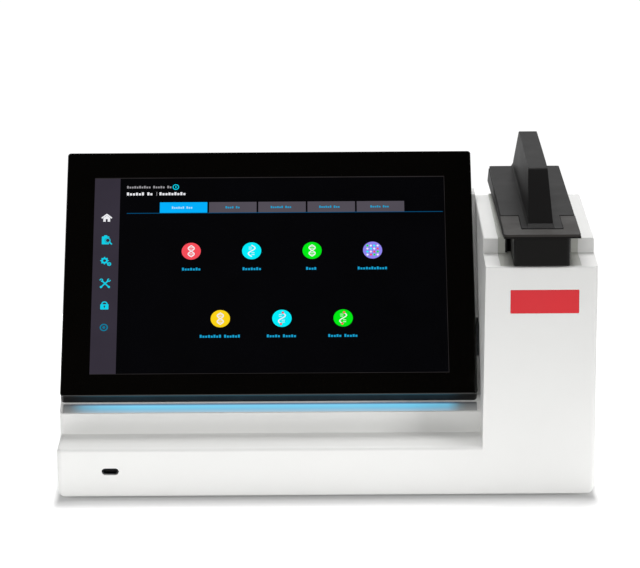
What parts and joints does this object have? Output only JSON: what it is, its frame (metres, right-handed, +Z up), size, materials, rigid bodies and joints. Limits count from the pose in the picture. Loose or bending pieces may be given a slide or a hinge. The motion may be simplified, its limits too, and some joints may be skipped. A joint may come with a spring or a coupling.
{
  "type": "spectrophotometer",
  "caption": "Bench-top microvolume spectrophotometer with a tilted touch screen and a sample tower whose hinged arm closes an upper pedestal over a lower one.",
  "frame": {"origin": "middle of the footprint, on the surface that the feet rest on", "axes": "+Z up, +X to the user's right towards the sample tower, -Y towards the user"},
  "size_m": [0.3204, 0.211, 0.1938],
  "materials": {
    "white_shell": "satin moulded white",
    "tray_steel": "powder coat",
    "black_rubber": "matte",
    "screw_steel": "plated",
    "badge_red": "gloss",
    "panel_grey": "fine texture",
    "deck_grey": "satin",
    "light_diffuser": "milky, lit from behind",
    "circuit_board": "solder mask",
    "led_white": "clear dome",
    "port_steel": "nickel plated",
    "black_nickel": "black nickel plated",
    "black_plastic": "fine texture",
    "cover_glass": "polished, black border",
    "lcd_black": "gloss",
    "arm_grey": "satin charcoal",
    "pad_grey": "soft touch",
    "nose_black": "satin",
    "pedestal_steel": "polished stainless",
    "bearing_brass": "turned",
    "frame_aluminium": "machined",
    "bracket_steel": "zinc plated",
    "motor_black": "satin",
    "optic_mirror": "first surface",
    "fibre_jacket": "smooth",
    "friction_fibre": "pressed fibre"
  },
  "bodies": {
    "base": {"main_housing": "white_shell", "base_tray": "tray_steel", "rubber_feet": "black_rubber", "housing_screws": "screw_steel", "front_badge": "badge_red", "rear_panel": "panel_grey", "rear_panel_screws": "screw_steel", "light_bar_lens": "light_diffuser", "light_bar_board": "circuit_board", "light_bar_leds": "led_white", "front_usb_shell": "black_nickel", "front_usb_tongue": "black_plastic", "front_usb_board": "circuit_board", "display_glass": "cover_glass", "display_gasket": "black_rubber", "display_panel": "lcd_black", "display_frame": "black_plastic", "display_screws": "screw_steel", "deck_insert": "deck_grey", "arm_well": "black_plastic", "pedestal_seal": "black_rubber", "lift_guide_rods": "pedestal_steel", "lift_bracket": "frame_aluminium", "lift_motor": "motor_black", "arm_stops": "black_rubber", "optics_bench": "frame_aluminium", "optics_cover": "motor_black", "diffraction_grating": "optic_mirror", "collimating_mirrors": "optic_mirror", "sensor_board": "circuit_board", "lamp_bracket": "frame_aluminium", "flash_lamp": "frame_aluminium", "detector_fibre": "fibre_jacket", "source_fibre": "fibre_jacket", "main_board": "circuit_board", "board_standoffs": "bearing_brass", "board_screws": "screw_steel", "heat_sink": "frame_aluminium", "power_board": "circuit_board", "ethernet_jack": "port_steel", "usb_host_ports": "port_steel", "dc_jack": "black_plastic", "power_switch_housing": "black_plastic", "hinge_pin": "pedestal_steel", "friction_washers": "friction_fibre", "hinge_bracket": "bracket_steel", "hinge_screws": "screw_steel"},
    "arm": {"arm_cover": "arm_grey", "arm_handle": "arm_grey", "front_grip_pad": "pad_grey", "arm_tray": "arm_grey", "arm_screws": "screw_steel", "nose_block": "nose_black", "upper_pedestal": "pedestal_steel", "pedestal_bush": "bearing_brass", "hinge_bushes": "bearing_brass"},
    "lift": {"lower_pedestal": "pedestal_steel", "lift_carriage": "frame_aluminium"},
    "screw": {"lift_screw": "screw_steel"},
    "rocker": {"power_rocker": "black_plastic"}
  },
  "joints": [
    {"name": "arm_hinge", "type": "hinge", "parent": "base", "child": "arm", "pos_m": [0.127, 0.06255, 0.147], "axis": [-1, 0, 0], "range_deg": [0, 75]},
    {"name": "lift_slide", "type": "slide", "parent": "base", "child": "lift", "axis": [0, 0, 1], "range_m": [0, 0.00095]},
    {"name": "screw_spin", "type": "hinge", "parent": "base", "child": "screw", "pos_m": [0.127, -0.06545, 0.116], "axis": [0, 0, 1], "range_deg": [0, 345]},
    {"name": "power_rocker_tilt", "type": "hinge", "parent": "base", "child": "rocker", "pos_m": [0.012, 0.09995, 0.033], "axis": [1, 0, 0], "range_deg": [0, 16]}
  ],
  "couplings": [
    {"joint": "screw_spin", "follows": "lift_slide", "rad_per_m": 6283.2}
  ]
}
